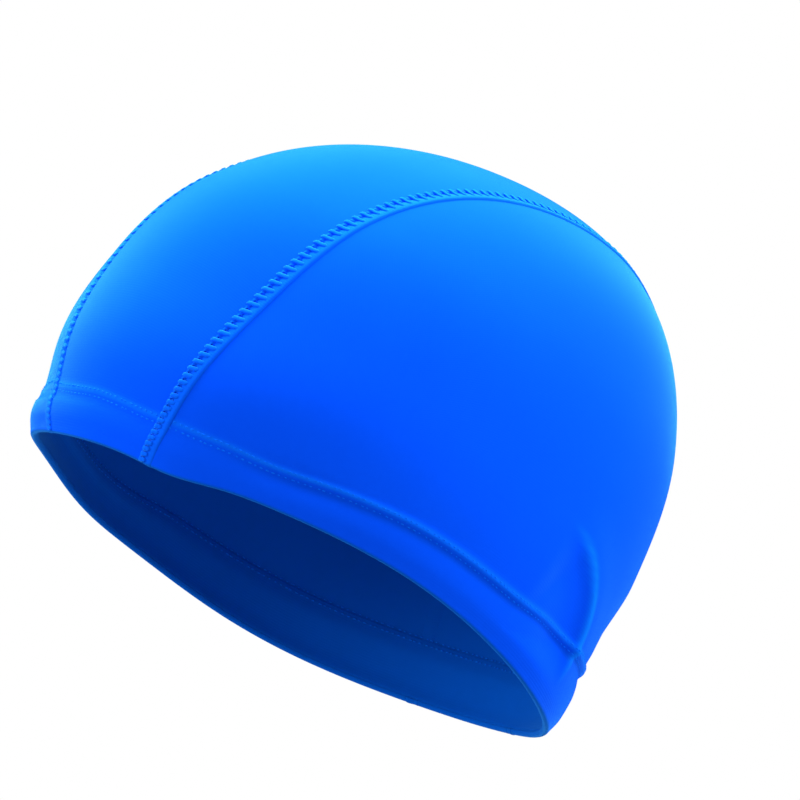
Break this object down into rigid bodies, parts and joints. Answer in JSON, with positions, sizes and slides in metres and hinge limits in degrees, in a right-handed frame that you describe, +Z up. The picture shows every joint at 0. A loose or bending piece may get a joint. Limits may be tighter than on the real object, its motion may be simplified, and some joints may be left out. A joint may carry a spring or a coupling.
{
  "type": "swim cap",
  "caption": "Three-panel stretch fabric swim cap: centre strip and two side panels joined by raised flat seams, open below with a turned-up hem.",
  "frame": {"origin": "top of the hollow, on the inner face of the crown, where the wearer's head carries the cap", "axes": "+Z up, the wearer faces -Y and the wearer's left side is at +X; the rim's plane slopes down from the forehead to the nape as the cap is worn"},
  "size_m": [0.176, 0.209, 0.1852],
  "materials": {
    "side_cloth": "satin knit",
    "centre_cloth": "satin knit",
    "seam_thread": "flat stitched thread",
    "hem_cloth": "satin knit"
  },
  "bodies": {
    "root": {"centre_panel": "centre_cloth", "left_panel": "side_cloth", "right_panel": "side_cloth", "left_seam": "seam_thread", "right_seam": "seam_thread", "turned_hem": "hem_cloth"}
  },
  "joints": []
}
